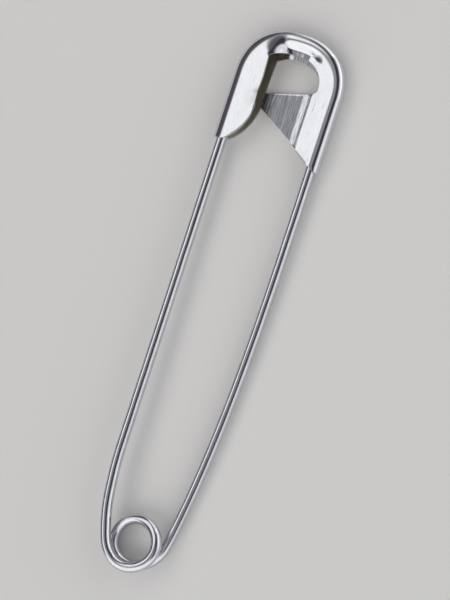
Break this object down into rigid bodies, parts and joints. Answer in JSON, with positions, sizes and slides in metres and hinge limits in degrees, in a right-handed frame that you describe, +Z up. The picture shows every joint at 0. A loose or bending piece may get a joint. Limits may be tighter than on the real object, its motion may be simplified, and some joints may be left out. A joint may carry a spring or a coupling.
{
  "type": "safety pin",
  "caption": "Closed metal safety pin: a bent spring wire with a coil at one end and a folded sheet guard at the other that covers the point. The pin arm opens round the coil.",
  "frame": {"origin": "centre of the footprint of the closed pin lying flat, on the surface it lies on", "axes": "+Y along the pin towards the guard, +X from the opening arm towards the fixed side, +Z up, out of the front of the guard"},
  "size_m": [0.0118, 0.0571, 0.0026],
  "materials": {
    "guard_sheet": "bright nickel plate on stamped steel sheet, with fine forming streaks",
    "wire": "bright nickel plate on drawn steel wire"
  },
  "bodies": {
    "fixed_side": {"cap": "guard_sheet", "spine_wire": "wire", "coil_spring": "wire"},
    "arm_bend": {"arm_root": "wire"},
    "arm": {"pin_arm": "wire"}
  },
  "joints": [
    {"name": "arm_swing", "type": "hinge", "parent": "fixed_side", "child": "arm_bend", "pos_m": [-0.00031, -0.02541, 0.00113], "axis": [0, 0, 1], "range_deg": [0, 24], "deforming": ["coil_spring"]},
    {"name": "arm_roll", "type": "hinge", "parent": "arm_bend", "child": "arm", "pos_m": [-0.00466, -0.01691, 0.0019], "axis": [-0.0455, -0.982, -0.1835], "range_deg": [0, 360]}
  ],
  "couplings": [
    {"joint": "arm_roll", "follows": "arm_swing", "ratio": 15}
  ]
}
